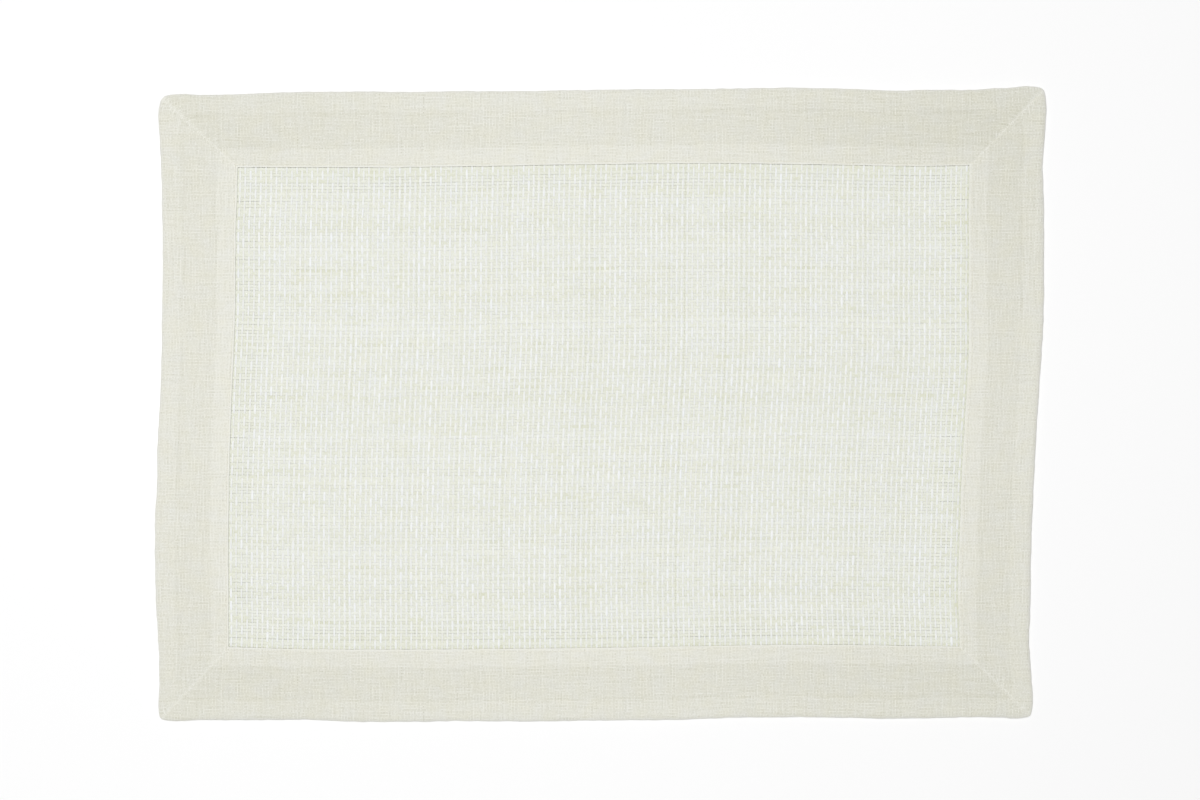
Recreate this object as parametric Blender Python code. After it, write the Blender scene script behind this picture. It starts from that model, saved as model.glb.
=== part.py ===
"""Bordered table mat: a loosely woven centre panel held by four folded linen strips.

Each strip is folded lengthwise along the mat's outer edge, mitred at both ends, and takes the
panel's edge between its two layers. The mat lies on the plane z = 0 with its right side up,
+X along its length and +Y towards its far long edge. Its origin is on that plane, under the
middle of the outline. Sizes are in millimetres until a mesh is made, which is in metres.
"""

import math
from bisect import bisect
from typing import NamedTuple

import bmesh
import bpy
from mathutils import Vector

MM = 0.001

# The cloths.
LAYER = 1.0  # one layer of the folded linen
PANEL = 1.0  # the woven centre
GAP = 0.3  # between two pieces, and between a strip's two layers

# The strips.
STRIP_WIDTH = 42.6  # usual width, from the outer fold to the edge beside the panel
SEAM_ALLOWANCE = 12.0  # cloth turned in along the outer edge
ALLOWANCE_SWELL = 0.2  # how much that raises the front layer
TUCK = 10.0  # how far the panel's edge reaches between the layers
RAMP = 8.0  # over which the front layer climbs onto the panel

# The panel, which rests on the table away from the strips.
LEVEL = 1.0  # past the strip's edge before it starts to fall
FALL = 16.0  # over which it falls to the table

LONG_STATIONS = 24
SHORT_STATIONS = 18
ROUND_STEPS = 6  # of a half round


class Corner(NamedTuple):
    """A corner of the mat: the points of its mitre, and the radius of its outer rounding."""

    outer_x: float
    outer_y: float
    inner_x: float
    inner_y: float
    radius: float


class Bow(NamedTuple):
    """How far a side bulges outwards at a share of its length, at its two edges."""

    share: float
    outer: float
    inner: float


class Side(NamedTuple):
    """A side of the mat, from its first corner to its second."""

    first: str
    second: str
    stations: int
    bows: tuple


CORNERS = {
    "far_left": Corner(-255.8, 179.7, -210.5, 137.5, 5.5),
    "far_right": Corner(257.9, 184.0, 214.0, 138.7, 3.5),
    "near_left": Corner(-256.1, -183.1, -215.8, -140.6, 2.6),
    "near_right": Corner(250.0, -181.5, 208.2, -140.3, 2.6),
}

SIDES = {
    "far": Side("far_left", "far_right", LONG_STATIONS, (
        Bow(0.05, -0.3, 0.0),
        Bow(0.15, 0.9, -0.2),
        Bow(0.22, 1.1, -0.3),
        Bow(0.28, 0.5, 0.1),
        Bow(0.34, 0.9, 0.3),
        Bow(0.39, 0.4, 0.7),
        Bow(0.50, 0.9, 1.2),
        Bow(0.60, 0.9, 1.6),
        Bow(0.67, 1.0, 1.6),
        Bow(0.73, 1.0, 1.1),
        Bow(0.79, -0.1, 0.7),
        Bow(0.84, -1.1, 0.3),
        Bow(0.89, -0.6, -0.1),
        Bow(0.93, -1.0, -0.5),
        Bow(0.97, 0.5, -0.2),
    )),
    "near": Side("near_left", "near_right", LONG_STATIONS, (
        Bow(0.06, 0.1, 0.8),
        Bow(0.12, 0.3, 1.3),
        Bow(0.18, 0.2, 1.5),
        Bow(0.22, 1.4, 1.5),
        Bow(0.28, 1.5, 1.4),
        Bow(0.35, 1.1, 1.2),
        Bow(0.40, 1.5, 1.0),
        Bow(0.50, 1.1, 0.6),
        Bow(0.60, 0.8, 0.0),
        Bow(0.66, -0.3, -0.5),
        Bow(0.77, -0.3, -1.1),
        Bow(0.84, 0.7, -1.0),
        Bow(0.91, 0.0, -0.6),
    )),
    "left": Side("far_left", "near_left", SHORT_STATIONS, (
        Bow(0.04, 0.5, -0.1),
        Bow(0.11, -0.7, 0.4),
        Bow(0.20, -1.4, 0.2),
        Bow(0.28, -1.7, -0.2),
        Bow(0.36, -1.3, 0.1),
        Bow(0.46, -0.6, 0.8),
        Bow(0.55, 1.1, 1.2),
        Bow(0.62, 1.5, 1.4),
        Bow(0.68, 2.6, 1.5),
        Bow(0.78, 2.5, 1.3),
        Bow(0.86, 1.2, 0.8),
        Bow(0.91, 0.2, 0.4),
    )),
    "right": Side("far_right", "near_right", SHORT_STATIONS, (
        Bow(0.05, 1.0, 0.0),
        Bow(0.11, -0.3, 0.2),
        Bow(0.18, 0.8, 0.9),
        Bow(0.27, 1.7, 1.0),
        Bow(0.36, 2.1, 1.8),
        Bow(0.42, 1.4, 1.7),
        Bow(0.50, 0.1, 0.7),
        Bow(0.57, -0.9, 0.0),
        Bow(0.66, -1.8, -0.8),
        Bow(0.75, -2.2, -1.1),
        Bow(0.82, -1.9, -1.5),
        Bow(0.88, -2.3, -1.6),
        Bow(0.92, -0.6, -1.0),
    )),
}


def ease(share):
    """A smooth step from 0 to 1."""
    share = min(max(share, 0.0), 1.0)
    return share * share * (3 - 2 * share)


def bow_at(side, share, edge):
    """The side's bulge at a share of its length: a smooth curve through its table's rows."""
    rows = (Bow(0.0, 0.0, 0.0), *side.bows, Bow(1.0, 0.0, 0.0))
    at = [row.share for row in rows]
    bulge = [getattr(row, edge) for row in rows]

    def slope(row):
        if row in (0, len(rows) - 1):
            return 0.0
        return (bulge[row + 1] - bulge[row - 1]) / (at[row + 1] - at[row - 1])

    low = min(bisect(at, share), len(rows) - 1) - 1
    high = low + 1
    span = at[high] - at[low]
    t = (share - at[low]) / span
    turn = t * (1 - t) * span * ((1 - t) * slope(low) - t * slope(high))
    return bulge[low] + (bulge[high] - bulge[low]) * ease(t) + turn


def outer_corner(name):
    return Vector((CORNERS[name].outer_x, CORNERS[name].outer_y))


def inner_corner(name):
    return Vector((CORNERS[name].inner_x, CORNERS[name].inner_y))


def outward(side):
    """The unit normal of a side that points away from the mat's middle."""
    along = (outer_corner(side.second) - outer_corner(side.first)).normalized()
    normal = Vector((-along.y, along.x))
    return normal if normal.dot(outer_corner(side.first)) > 0 else -normal


def rounding(distance, radius):
    """How far a rounded corner draws the edge in, at a distance along the side from the corner."""
    if distance >= radius:
        return 0.0
    return radius - math.sqrt(radius**2 - (radius - distance) ** 2)


def mitre_tip(name):
    """Where a mitre meets the rounded outer edge."""
    tip = outer_corner(name)
    return tip + (inner_corner(name) - tip).normalized() * (math.sqrt(2) - 1) * CORNERS[name].radius


def outer_point(side, share):
    """A point of the outer edge."""
    if share <= 0:
        return mitre_tip(side.first)
    if share >= 1:
        return mitre_tip(side.second)
    first, second = outer_corner(side.first), outer_corner(side.second)
    length = (second - first).length
    drawn_in = rounding(share * length, CORNERS[side.first].radius)
    drawn_in += rounding((1 - share) * length, CORNERS[side.second].radius)
    return first.lerp(second, share) + outward(side) * (bow_at(side, share, "outer") - drawn_in)


def inner_point(side, share):
    """A point of the edge beside the panel."""
    first, second = inner_corner(side.first), inner_corner(side.second)
    return first.lerp(second, share) + outward(side) * bow_at(side, share, "inner")


def across(side, share, from_edge):
    """A point of the strip in plan, at a distance from its outer edge in the usual width."""
    return outer_point(side, share).lerp(inner_point(side, share), from_edge / STRIP_WIDTH)


def stations(side):
    """The shares of a side's length at which its strip has a section, closer at the roundings."""
    length = (outer_corner(side.second) - outer_corner(side.first)).length
    first, second = CORNERS[side.first].radius / length, CORNERS[side.second].radius / length
    shares = [0.0, 0.55 * first, first]
    span = 1 - first - second
    shares += [first + span * i / side.stations for i in range(1, side.stations)]
    return [*shares, 1 - second, 1 - 0.55 * second, 1.0]


def middle_of_outline():
    """The middle of the box round the mat's outer edge."""
    edge = [outer_point(side, share) for side in SIDES.values() for share in stations(side)]
    xs, ys = [p.x for p in edge], [p.y for p in edge]
    return Vector(((min(xs) + max(xs)) / 2, (min(ys) + max(ys)) / 2))


def half_round(centre_from_edge, centre_height, radius, start):
    """The points inside a half circle of the section, which starts at an angle in degrees."""
    turns = [math.radians(start + 180 * i / ROUND_STEPS) for i in range(1, ROUND_STEPS)]
    return [
        (centre_from_edge + radius * math.cos(turn), centre_height + radius * math.sin(turn))
        for turn in turns
    ]


def strip_section():
    """A folded strip's section, as (distance from the outer edge, height), all the way round."""
    closed = LAYER + GAP  # the front layer's underside where nothing lies between the layers
    lifted = closed + PANEL + GAP  # and over the panel
    fold = (closed + LAYER + ALLOWANCE_SWELL) / 2
    inner = STRIP_WIDTH - LAYER / 2
    climb_from = STRIP_WIDTH - TUCK - RAMP
    climb = [
        (climb_from + RAMP * i / 4, closed + (lifted - closed) * ease(i / 4)) for i in range(5)
    ]
    underside = [(fold, 0.0), (inner, 0.0)]
    back_edge = half_round(inner, LAYER / 2, LAYER / 2, -90)
    slot_floor = [(inner, LAYER), (fold, LAYER)]
    slot_roof = [(fold, closed), *climb, (inner, lifted)]
    front_edge = half_round(inner, lifted + LAYER / 2, LAYER / 2, -90)
    top = [(inner, lifted + LAYER), *[(at, under + LAYER) for at, under in reversed(climb)]]
    allowance = [
        (SEAM_ALLOWANCE + 1, closed + LAYER),
        (SEAM_ALLOWANCE - 1, closed + LAYER + ALLOWANCE_SWELL),
        (fold, closed + LAYER + ALLOWANCE_SWELL),
    ]
    outer_fold = half_round(fold, fold, fold, 90)
    return [
        *underside, *back_edge, *slot_floor, *slot_roof, *front_edge, *top, *allowance, *outer_fold,
    ]


def loft(mesh, rings, closed):
    """Joins rings of vertices one after another with faces."""
    for near, far in zip(rings, rings[1:]):
        count = len(near)
        for i in range(count if closed else count - 1):
            j = (i + 1) % count
            mesh.faces.new((near[i], near[j], far[j], far[i]))


def add_piece(name, mesh, material):
    """Turns a mesh's faces outwards and adds it to the scene as one piece."""
    bmesh.ops.recalc_face_normals(mesh, faces=mesh.faces)
    data = bpy.data.meshes.new(name)
    mesh.to_mesh(data)
    mesh.free()
    data.materials.append(material)
    data.shade_smooth()
    data.set_sharp_from_angle(angle=math.radians(40))
    piece = bpy.data.objects.new(name, data)
    bpy.context.scene.collection.objects.link(piece)
    return piece


def add_strip(name, side, origin, material):
    """One folded border strip, with its mitred ends set back from its neighbours' ends."""
    along = (outer_corner(side.second) - outer_corner(side.first)).normalized()
    set_back = along * (GAP / 2) * math.sqrt(2)
    section = strip_section()
    shares = stations(side)
    mesh = bmesh.new()
    rings = []
    for share in shares:
        shift = set_back * ((share == shares[0]) - (share == shares[-1])) - origin
        plan = [across(side, share, from_edge) + shift for from_edge, _ in section]
        rings.append([
            mesh.verts.new((at.x * MM, at.y * MM, height * MM))
            for at, (_, height) in zip(plan, section)
        ])
    loft(mesh, rings, closed=True)
    mesh.faces.new(rings[0])
    mesh.faces.new(rings[-1])
    return add_piece(name, mesh, material)


def panel_point(u, v):
    """A point of the panel in plan: u from left to right, v from the far edge to the near one."""
    edge = STRIP_WIDTH - TUCK
    far, near = (across(SIDES[name], u, edge) for name in ("far", "near"))
    left, right = (across(SIDES[name], v, edge) for name in ("left", "right"))
    far_left, far_right = (across(SIDES["far"], end, edge) for end in (0, 1))
    near_left, near_right = (across(SIDES["near"], end, edge) for end in (0, 1))
    corners = far_left.lerp(far_right, u).lerp(near_left.lerp(near_right, u), v)
    return far.lerp(near, v) + left.lerp(right, u) - corners


def panel_lift(from_edge):
    """The height of the panel's underside, at a distance from its cut edge."""
    fallen = (from_edge - TUCK - LEVEL) / FALL
    return (LAYER + GAP) * (1 - ease(fallen))


def panel_shares(size, count):
    """Shares across the panel, closer where it falls from the strips to the table."""
    fall = [0.0, TUCK + LEVEL, *[TUCK + LEVEL + FALL * i / 4 for i in range(1, 5)]]
    inside = size - 2 * fall[-1]
    middle = [fall[-1] + inside * i / count for i in range(1, count)]
    return [at / size for at in [*fall, *middle, *[size - at for at in reversed(fall)]]]


def add_panel(name, origin, material):
    """The woven centre, its edges held between the strips' layers and its middle on the table."""
    width = (panel_point(1, 0.5) - panel_point(0, 0.5)).length
    depth = (panel_point(0.5, 1) - panel_point(0.5, 0)).length
    us, vs = panel_shares(width, LONG_STATIONS - 4), panel_shares(depth, SHORT_STATIONS - 4)
    mesh = bmesh.new()
    lower, upper = [], []
    for v in vs:
        plan = [panel_point(u, v) - origin for u in us]
        heights = [
            panel_lift(min(u * width, (1 - u) * width, v * depth, (1 - v) * depth)) for u in us
        ]
        for rows, raised in ((lower, 0.0), (upper, PANEL)):
            rows.append([
                mesh.verts.new((at.x * MM, at.y * MM, (height + raised) * MM))
                for at, height in zip(plan, heights)
            ])
    for rows in (lower, upper):
        loft(mesh, rows, closed=False)
    rims = [
        [
            *rows[0],
            *[row[-1] for row in rows[1:]],
            *rows[-1][-2::-1],
            *[row[0] for row in rows[-2:0:-1]],
        ]
        for rows in (lower, upper)
    ]
    loft(mesh, rims, closed=True)
    return add_piece(name, mesh, material)


def cloth(name, colour, roughness):
    """A plain cloth finish. The colour is linear."""
    material = bpy.data.materials.new(name)
    material.use_nodes = True
    shader = material.node_tree.nodes["Principled BSDF"]
    shader.inputs["Base Color"].default_value = (*colour, 1)
    shader.inputs["Roughness"].default_value = roughness
    shader.inputs["Metallic"].default_value = 0
    return material


def main():
    for thing in list(bpy.data.objects):
        bpy.data.objects.remove(thing)
    linen = cloth("ivory_linen", (0.76, 0.75, 0.66), 0.9)
    woven = cloth("white_and_ivory_weave", (0.80, 0.82, 0.76), 0.8)
    origin = middle_of_outline()
    for name, side in SIDES.items():
        add_strip("border_" + name, side, origin, linen)
    add_panel("centre_panel", origin, woven)


main()
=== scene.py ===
"""Looks of a bordered table mat: folded linen strips, an openwork centre and their stitching.

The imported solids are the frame: the mat's outline and its mitres are read from them. The strips
are drawn as folded cloth, and the centre yarn by yarn. Lengths are in millimetres until a mesh is
made, which is in metres.
"""

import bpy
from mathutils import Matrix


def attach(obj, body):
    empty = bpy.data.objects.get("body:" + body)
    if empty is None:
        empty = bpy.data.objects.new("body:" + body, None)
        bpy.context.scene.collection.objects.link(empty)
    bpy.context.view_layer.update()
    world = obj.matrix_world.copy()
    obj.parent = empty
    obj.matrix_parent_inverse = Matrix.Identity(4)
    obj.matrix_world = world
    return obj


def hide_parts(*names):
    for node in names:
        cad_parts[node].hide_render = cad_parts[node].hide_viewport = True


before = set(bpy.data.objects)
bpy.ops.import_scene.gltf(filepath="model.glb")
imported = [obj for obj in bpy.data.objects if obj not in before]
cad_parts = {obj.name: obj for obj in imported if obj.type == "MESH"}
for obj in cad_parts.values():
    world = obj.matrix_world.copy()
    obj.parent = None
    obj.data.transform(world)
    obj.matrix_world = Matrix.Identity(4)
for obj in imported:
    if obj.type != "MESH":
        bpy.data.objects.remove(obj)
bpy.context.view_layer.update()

import logging
import math
from dataclasses import asdict, dataclass, field
from enum import Enum
from functools import partial
from typing import Any, Callable

import bpy
import numpy as np
from bpy.types import Material, Mesh, Node, NodeSocket, NodeTree, Object
from mathutils import Vector

Array = np.ndarray
Pair = tuple[float, float]
Triple = tuple[float, float, float]
LOG = logging.getLogger("placemat")
MM = 0.001
NOISE_REACH = 0.25  # how far a noise node's values usually stray from their middle
SHARP_CLOTH = math.radians(50)  # a mesh's sharper edges stay crisp: on the strips
SHARP_YARN = math.radians(130)  # and on the yarns, where they are the thin sides of flat ones


class SideName(Enum):
    """The four sides of the mat, by the name of the strip that edges each."""

    FAR = "far"
    NEAR = "near"
    LEFT = "left"
    RIGHT = "right"

    @property
    def node(self) -> str:
        """The solid of this side's strip."""
        return f"border_{self.value}"

    @property
    def axis(self) -> int:
        """The axis that the side runs along: 0 is x, for the long sides, and 1 is y."""
        return 0 if self in (SideName.FAR, SideName.NEAR) else 1

    @property
    def outward(self) -> Array:
        """The direction out of the mat across this side."""
        out = 1.0 if self in (SideName.FAR, SideName.RIGHT) else -1.0
        return np.array([out * self.axis, out * (1 - self.axis)])


class Passing(Enum):
    """The two sorts of white end: those with even and those with odd numbers, which dive later."""

    EVEN = 0
    ODD = 1


# ---- Numbers ----

Swing = Pair  # how far something wanders, and the usual length of a swing


def ease(share: Array | float) -> Array:
    """A smooth step from 0 to 1."""
    share = np.clip(share, 0.0, 1.0)
    return share * share * (3 - 2 * share)


def distances(points: Array) -> Array:
    """How far along a line each of its points lies."""
    return np.concatenate([[0.0], np.cumsum(np.linalg.norm(np.diff(points, axis=0), axis=1))])


def curve_through(knots: Array, values: Array, at: Array) -> Array:
    """Reads a smooth curve that passes through given values.

    Args:
        knots: Where the values stand, rising.
        values: A value, or a row of them, at each knot.
        at: Where to read the curve. Past the ends it runs on straight.

    Returns:
        A row of values for each place in at.
    """
    values = values.reshape(len(knots), -1)
    slopes = np.gradient(values, knots, axis=0)
    inside = np.clip(at, knots[0], knots[-1])
    low = np.clip(np.searchsorted(knots, inside, side="right") - 1, 0, len(knots) - 2)
    span = (knots[low + 1] - knots[low])[:, None]
    t = (inside[:, None] - knots[low][:, None]) / span
    turn = t * (1 - t) * span * ((1 - t) * slopes[low] - t * slopes[low + 1])
    inner = values[low] + (values[low + 1] - values[low]) * ease(t) + turn
    past = (at - inside)[:, None]
    return inner + past * np.where(past < 0, slopes[0], slopes[-1])


def drift(rng: np.random.Generator, at: Array, *swings: Swing, lines: int = 1) -> Array:
    """Smooth random wandering.

    Args:
        rng: Where the random numbers come from.
        at: Places along a line, in millimetres.
        swings: The kinds of swing that are added up.
        lines: How many lines to draw, each with its own wandering.

    Returns:
        The wandering, one row for each line.
    """
    total = np.zeros((lines, len(at)))
    for size, wave in swings:
        knots = np.arange(float(at.min()) - wave, float(at.max()) + 2 * wave, wave / 2)
        total += size * curve_through(knots, rng.uniform(-1, 1, (len(knots), lines)), at).T
    return total


# ---- Meshes ----


def put_in_scene(name: str, data: bpy.types.ID) -> Object:
    """Makes an object of a mesh, a light or a camera, at the origin.

    Args:
        name: The object's name.
        data: What it shows.

    Returns:
        The object, in the scene.
    """
    made = bpy.data.objects.new(name, data)
    bpy.context.scene.collection.objects.link(made)
    return made


def vertex_places(mesh: Mesh) -> Array:
    """The places of a mesh's vertices in metres, one row each."""
    return np.array([vertex.co for vertex in mesh.vertices], np.float32)


def add_value(mesh: Mesh, name: str, values: Array) -> None:
    """Gives a mesh an attribute: a number for each vertex."""
    data = mesh.attributes.new(name, "FLOAT", "POINT")
    data.data.foreach_set("value", values.astype(np.float32).ravel())


def add_map(mesh: Mesh, name: str, places: Array) -> None:
    """Gives a mesh a UV map, from a place on it for each vertex."""
    corners = places[[loop.vertex_index for loop in mesh.loops]]
    mesh.uv_layers.new(name=name).uv.foreach_set("vector", corners.astype(np.float32).ravel())


def path_mesh(name: str, lines: Array, **attributes: Array) -> Mesh:
    """Makes a mesh of lines.

    Args:
        name: The mesh's name.
        lines: Places in millimetres, as (line, point, axis).
        attributes: A number for each point of each line, by name.

    Returns:
        The mesh, in metres.
    """
    count, points = lines.shape[:2]
    first = (np.arange(count)[:, None] * points + np.arange(points - 1)).ravel()
    edges = np.stack([first, first + 1], axis=1)
    mesh = bpy.data.meshes.new(name)
    mesh.from_pydata((lines.reshape(-1, 3) * MM).tolist(), edges.tolist(), [])
    for key, values in attributes.items():
        add_value(mesh, key, values)
    return mesh


# ---- Materials ----

Links = dict | list | tuple
AddNode = Callable[..., Node]
MATH = "ShaderNodeMath"
MIX = "ShaderNodeMix"
NOISE = "ShaderNodeTexNoise"


def linear(colour: str) -> tuple[float, float, float, float]:
    """Turns an sRGB hex colour such as "#E4E3D9" into linear light."""
    parts = [int(colour[i : i + 2], 16) / 255 for i in (1, 3, 5)]
    return (*[c / 12.92 if c <= 0.04045 else ((c + 0.055) / 1.055) ** 2.4 for c in parts], 1.0)


def add_node(tree: NodeTree, kind: str, links: Links = (), **settings: Any) -> Node:
    """Adds a node with its settings and links.

    Args:
        tree: A material's tree or a geometry tree.
        kind: The node's type.
        links: What goes into its inputs, in order or by key: a node's first output, a socket or
            a plain value.
        settings: The node's own properties.

    Returns:
        The node.
    """
    node = tree.nodes.new(kind)
    for name, value in settings.items():
        setattr(node, name, value)
    for key, value in (links if isinstance(links, dict) else dict(enumerate(links))).items():
        source = value.outputs[0] if isinstance(value, Node) else value
        if isinstance(source, NodeSocket):
            tree.links.new(source, node.inputs[key])
        else:
            node.inputs[key].default_value = source
    return node


def new_material(name: str) -> tuple[Material, AddNode]:
    """Makes a material with an empty tree.

    Args:
        name: The finish's name.

    Returns:
        The material, and add_node for its tree.
    """
    material = bpy.data.materials.new(name)
    material.use_nodes = True
    material.node_tree.nodes.clear()
    return material, partial(add_node, material.node_tree)


@dataclass(frozen=True, kw_only=True)
class Fibre:
    """What cloth and yarns have in common: matt, a little fuzzy fibre.

    It is darker where it is thick and where shade is painted on it, and its colour wanders from cool to
    warm in patches.
    """

    name: str
    light: str
    shade: str
    roughness: float
    relief_mm: float  # how deep its relief is
    sheen: float = 0.1
    fuzz: float = 0.5  # the roughness of that sheen
    patch: str = "#FFFEF9"  # what a warm patch lets through
    patch_mm: float = 10.0
    patch_edge: Pair = (2.4, -0.7)  # how sharply the patches part, and where

    def dress(self, add: AddNode, dark: Node, relief: Node, place: Node, unit: float) -> None:
        """Ends a material's tree in its shader.

        Args:
            add: Adds a node to the tree.
            dark: How much of the shade there is.
            relief: The surface's height, 0 to 1.
            place: Where on the cloth.
            unit: A millimetre, in the units of place.
        """
        fibre = add(MIX, {0: dark, 6: linear(self.light), 7: linear(self.shade)}, data_type="RGBA")
        noise = add(NOISE, {"Vector": place, "Scale": 1 / (self.patch_mm * unit), "Detail": 3.0})
        share = add(MATH, [noise, *self.patch_edge], operation="MULTIPLY_ADD", use_clamp=True)
        undyed = {0: share, 6: fibre.outputs[2], 7: linear(self.patch)}
        colour = add(MIX, undyed, data_type="RGBA", blend_type="MULTIPLY")
        bump = {"Height": relief, "Strength": 0.8, "Distance": self.relief_mm * MM}
        surface = {
            "Base Color": colour.outputs[2],
            "Normal": add("ShaderNodeBump", bump),
            "Roughness": self.roughness,
            "Sheen Weight": self.sheen,
            "Sheen Roughness": self.fuzz,
        }
        add("ShaderNodeOutputMaterial", [add("ShaderNodeBsdfPrincipled", surface)])


@dataclass(frozen=True, kw_only=True)
class PlainLinen(Fibre):
    """Ivory linen, plain woven and pressed: a dry, matt cloth of uneven thread.

    Each thread swells and thins on its own, so the weave shows a fine hatching of light and dark
    lines both ways, with painted shade in the small holes where four threads meet. Doubled cloth looks
    lighter.
    """

    name: str = "ivory_plain_linen"
    light: str = "#E7E7E0"
    shade: str = "#C3C2B2"
    roughness: float = 0.88
    relief_mm: float = 0.2
    thread_mm: float = 0.85  # the real 0.7 is finer than the render can show
    streak_mm: float = 26.0  # the usual length of a swelling
    hatching: float = 0.85  # how much the swellings show
    beside: float = 0.6  # how much of it the next thread hides
    grain_mm: float = 1.1  # the usual length of a thick or thin place
    speckle: float = 0.5  # how much they show
    spread: float = 900.0  # of the threads' own beginnings in the noise
    dive: float = 0.35  # how far a thread rises and dives, of its own thickness
    pinhole_painted_shade: float = 0.6  # painted shade: how dark the weave is between its threads
    usual_height: float = 0.74
    usual: float = 0.295  # the share of shade that the clouds add to
    clouds: Pair = (0.06, 0.08)  # of tone: how many in a millimetre, how dark

    def thread_tone(self, add: AddNode, number: Node, along: NodeSocket) -> Node:
        """Works out how dark a thread is along its length, against the thread beside it.

        Args:
            add: Adds a node to the tree.
            number: The thread's number.
            along: Millimetres along it.

        Returns:
            The tone, about 0.
        """
        tones = []
        for step, size, detail in ((0, self.streak_mm, 2), (1, self.streak_mm, 2), (0, self.grain_mm, 0)):
            thread = add(MATH, [number, step], operation="ADD")
            chance = add("ShaderNodeTexWhiteNoise", {"W": thread}, noise_dimensions="1D")
            start = add(MATH, [chance, self.spread], operation="MULTIPLY")
            place = add(MATH, [along, 1 / size, start], operation="MULTIPLY_ADD")
            look = {"W": place, "Scale": 1.0, "Detail": detail, "Roughness": 0.6}
            tones.append(add(NOISE, look, noise_dimensions="1D"))
        own, beside, grain = tones
        swelling = add(MATH, [beside, -self.beside, own], operation="MULTIPLY_ADD")
        middle = self.hatching * (1 - self.beside) / 2
        hatching = add(MATH, [swelling, -self.hatching, middle], operation="MULTIPLY_ADD")
        speckle = add(MATH, [grain, self.speckle, -self.speckle / 2], operation="MULTIPLY_ADD")
        return add(MATH, [hatching, speckle], operation="ADD")

    def threads(self, add: AddNode, place: Node) -> tuple[Node, Node]:
        """Draws the plain weave: round threads both ways, each rising over every second one.

        Args:
            add: Adds a node to the tree.
            place: Millimetres along and across the cloth.

        Returns:
            The weave's height, 0 to 1, and how dark it is, about 0: the threads' tone, with painted
            shade between them.
        """
        parts = add("ShaderNodeSeparateXYZ", [place]).outputs[:2]
        counts = [add(MATH, [part, self.thread_mm], operation="DIVIDE") for part in parts]
        turns = [add(MATH, [count, math.pi], operation="MULTIPLY") for count in counts]
        waves = [add(MATH, [turn], operation="SINE") for turn in turns]
        heights, tones = [], []
        for way, dive in ((0, self.dive), (1, -self.dive)):
            side = add(MATH, [waves[way]], operation="SIGN")
            rise = add(MATH, [side, waves[1 - way]], operation="MULTIPLY")
            size = add(MATH, [waves[way]], operation="ABSOLUTE")
            back = add(MATH, [size, 0.5], operation="POWER")
            heights.append(add(MATH, [rise, dive, back], operation="MULTIPLY_ADD"))
            number = add(MATH, [counts[way]], operation="FLOOR")
            tones.append(self.thread_tone(add, number, parts[1 - way]))
        second = add(MATH, [heights[1], heights[0]], operation="GREATER_THAN")
        tone = add(MIX, {0: second, 2: tones[0], 3: tones[1]})
        top = add(MATH, heights, operation="MAXIMUM")
        height = add(MATH, [top, 1 + self.dive], operation="DIVIDE")
        # Painted shade where the weave sinks between its threads.
        middle = self.usual_height * self.pinhole_painted_shade
        painted_hole_shade = add(MATH, [height, -self.pinhole_painted_shade, middle], operation="MULTIPLY_ADD")
        return height, add(MATH, [tone, painted_hole_shade], operation="ADD")

    def material(self) -> Material:
        """Builds the material.

        Returns:
            The material. It reads the mesh's cloth map, in millimetres, and its attribute of lightness:
            how much lighter the cloth looks for its layers and tone, and for painted light and shade.
        """
        material, add = new_material(self.name)
        place = add("ShaderNodeUVMap", uv_map="cloth")
        height, weave = self.threads(add, place)
        scale, depth = self.clouds
        cloud = add(NOISE, {"Vector": place, "Scale": scale, "Detail": 2.0, "Roughness": 0.5})
        plies_and_painted_light = add("ShaderNodeAttribute", attribute_name="plies_and_painted_light").outputs["Fac"]
        clouded = add(MATH, [cloud, depth, self.usual], operation="MULTIPLY_ADD")
        dark = add(MATH, [weave, clouded], operation="ADD")
        self.dress(add, add(MATH, [dark, plies_and_painted_light], operation="SUBTRACT"), height, place, unit=1.0)
        return material


@dataclass(frozen=True, kw_only=True)
class Yarn(Fibre):
    """A spun yarn: soft and matt, darker where it thickens into a slub, with fine loose fibres."""

    fibre_mm: Triple  # how long its fibres' marks are along each axis
    relief_mm: float = 0.15
    contrast: float = 1.2  # how much the fibres show

    def material(self) -> Material:
        """Builds the material.

        Returns:
            The material. It reads the mesh's attribute shade: how dark the yarn is, for its own tone and
            for painted light and shade.
        """
        material, add = new_material(self.name)
        place = add("ShaderNodeTexCoord").outputs["Object"]
        scale = [1 / (size * MM) for size in self.fibre_mm]
        combed = add("ShaderNodeMapping", {"Vector": place, "Scale": scale})
        fibres = add(NOISE, {"Vector": combed, "Scale": 1.0, "Detail": 2.0})
        marks = add(MATH, [fibres, self.contrast, -self.contrast / 2], operation="MULTIPLY_ADD")
        shade = add("ShaderNodeAttribute", attribute_name="shade").outputs["Fac"]
        self.dress(add, add(MATH, [shade, marks], operation="ADD"), fibres, place, unit=MM)
        return material


@dataclass(frozen=True)
class PaintedBoard:
    """A board painted almost white: plain and matt, so it shows soft shadows alone."""

    name: str = "matt_white_board"
    colour: str = "#F7F7F7"
    roughness: float = 0.9
    specular: float = 0.2

    def material(self) -> Material:
        """Builds the material.

        Returns:
            The material.
        """
        material, add = new_material(self.name)
        gloss = {"Roughness": self.roughness, "Specular IOR Level": self.specular}
        surface = {"Base Color": linear(self.colour), **gloss}
        add("ShaderNodeOutputMaterial", [add("ShaderNodeBsdfPrincipled", surface)])
        return material


# Bleached cotton, softly spun: the brightest yarn, a cool white with a soft sheen, its fibres
# combed along y as the ends run.
WHITE_COTTON = Yarn(
    name="white_cotton_yarn", light="#EFF1F4", shade="#DFE0DC",
    roughness=0.75, sheen=0.2, fibre_mm=(0.3, 2.0, 0.3),
)
# Undyed linen, wet spun and pressed flat: dry and ivory, straw coloured at its slubs, its fibres
# combed along x as the picks run.
IVORY_PICK = Yarn(
    name="ivory_linen_pick_yarn", light="#EBEDE9", shade="#D3D5C0",
    roughness=0.85, fibre_mm=(3.0, 0.25, 0.25),
)
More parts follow.
